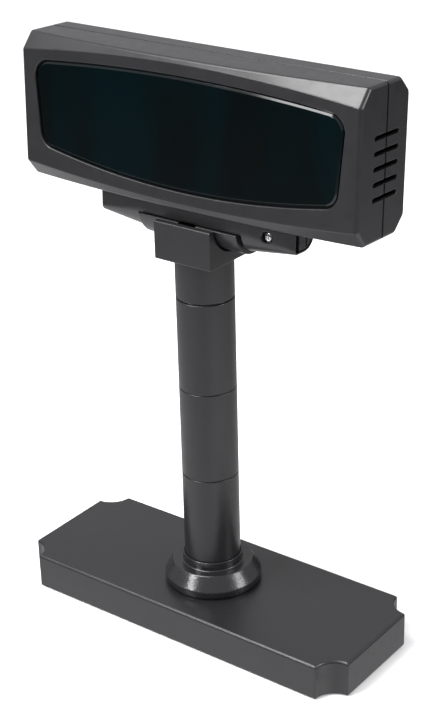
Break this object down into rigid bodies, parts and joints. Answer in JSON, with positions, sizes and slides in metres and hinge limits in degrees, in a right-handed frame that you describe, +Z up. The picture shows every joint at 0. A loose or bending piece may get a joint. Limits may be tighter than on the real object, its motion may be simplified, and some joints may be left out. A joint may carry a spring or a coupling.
{
  "type": "customer pole display",
  "caption": "Customer display for a checkout: a tilting and swivelling display head on a sectional pole and a weighted base.",
  "frame": {"origin": "centre of the base's footprint on the table, on the pole's axis", "axes": "+Z up the pole, +X to the display's right as the customer sees it, -Y out of the display's face"},
  "size_m": [0.2372, 0.0892, 0.351],
  "materials": {
    "charcoal_plastic": "fine-textured moulded ABS, dark charcoal",
    "charcoal_smooth": "smooth satin moulded ABS, dark charcoal",
    "smoked_window": "glossy smoked acrylic, near black",
    "tube_glass": "clear glass over dark electrodes",
    "circuit_board": "green solder mask",
    "component_black": "moulded epoxy, black",
    "ferrite": "coated ferrite, dark grey",
    "nylon": "natural nylon",
    "spring_steel": "plain turned steel",
    "zinc_plate": "bright zinc plate",
    "ballast_steel": "pickled steel plate",
    "foot_rubber": "matte black rubber",
    "cable_sleeve": "grey-black cable sleeve"
  },
  "bodies": {
    "base": {"base_cover": "charcoal_plastic", "bottom_cover": "charcoal_smooth", "ballast_plate": "ballast_steel", "foot_front_left": "foot_rubber", "foot_front_right": "foot_rubber", "foot_rear_left": "foot_rubber", "foot_rear_right": "foot_rubber", "base_screw_1": "spring_steel", "base_screw_2": "spring_steel", "base_screw_3": "spring_steel", "base_screw_4": "spring_steel", "flange_screw_1": "spring_steel", "flange_screw_2": "spring_steel", "flange_screw_3": "spring_steel", "interface_board": "circuit_board", "interface_socket": "component_black", "base_connector": "nylon", "pole_flange": "charcoal_smooth", "pole_section_lower": "charcoal_plastic", "pole_section_middle": "charcoal_plastic", "pole_section_upper": "charcoal_plastic", "swivel_washer": "charcoal_smooth", "swivel_spring": "spring_steel", "swivel_nut": "spring_steel", "pole_harness": "cable_sleeve"},
    "neck": {"neck_block": "charcoal_plastic", "tilt_knuckle": "zinc_plate", "knuckle_screw_left": "spring_steel", "knuckle_screw_right": "spring_steel"},
    "head": {"hinge_bar": "charcoal_plastic", "barrel_cover_left": "charcoal_plastic", "barrel_cover_right": "charcoal_plastic", "bar_end_plug_left": "charcoal_smooth", "bar_end_plug_right": "charcoal_smooth", "friction_washer_left": "nylon", "friction_washer_right": "nylon", "bar_screw_left": "spring_steel", "bar_screw_right": "spring_steel", "tilt_shaft": "spring_steel", "disc_spring": "spring_steel", "shaft_nut": "zinc_plate", "tilt_lock_screw": "zinc_plate", "front_bezel": "charcoal_plastic", "rear_shell": "charcoal_plastic", "display_window": "smoked_window", "vfd_tube": "tube_glass", "display_board": "circuit_board", "controller_chip": "component_black", "driver_chip": "component_black", "inverter_coil": "ferrite", "filter_capacitor": "component_black", "board_connector": "nylon", "board_screw_1": "spring_steel", "board_screw_2": "spring_steel", "case_screw_1": "spring_steel", "case_screw_2": "spring_steel", "case_screw_3": "spring_steel", "case_screw_4": "spring_steel", "head_harness": "cable_sleeve"}
  },
  "joints": [
    {"name": "swivel", "type": "hinge", "parent": "base", "child": "neck", "pos_m": [0, 0, 0.21091], "axis": [0, 0, 1], "range_deg": [-175, 175]},
    {"name": "tilt", "type": "hinge", "parent": "neck", "child": "head", "pos_m": [0, 0.0018, 0.2603], "axis": [1, 0, 0], "range_deg": [-30, 15]}
  ]
}
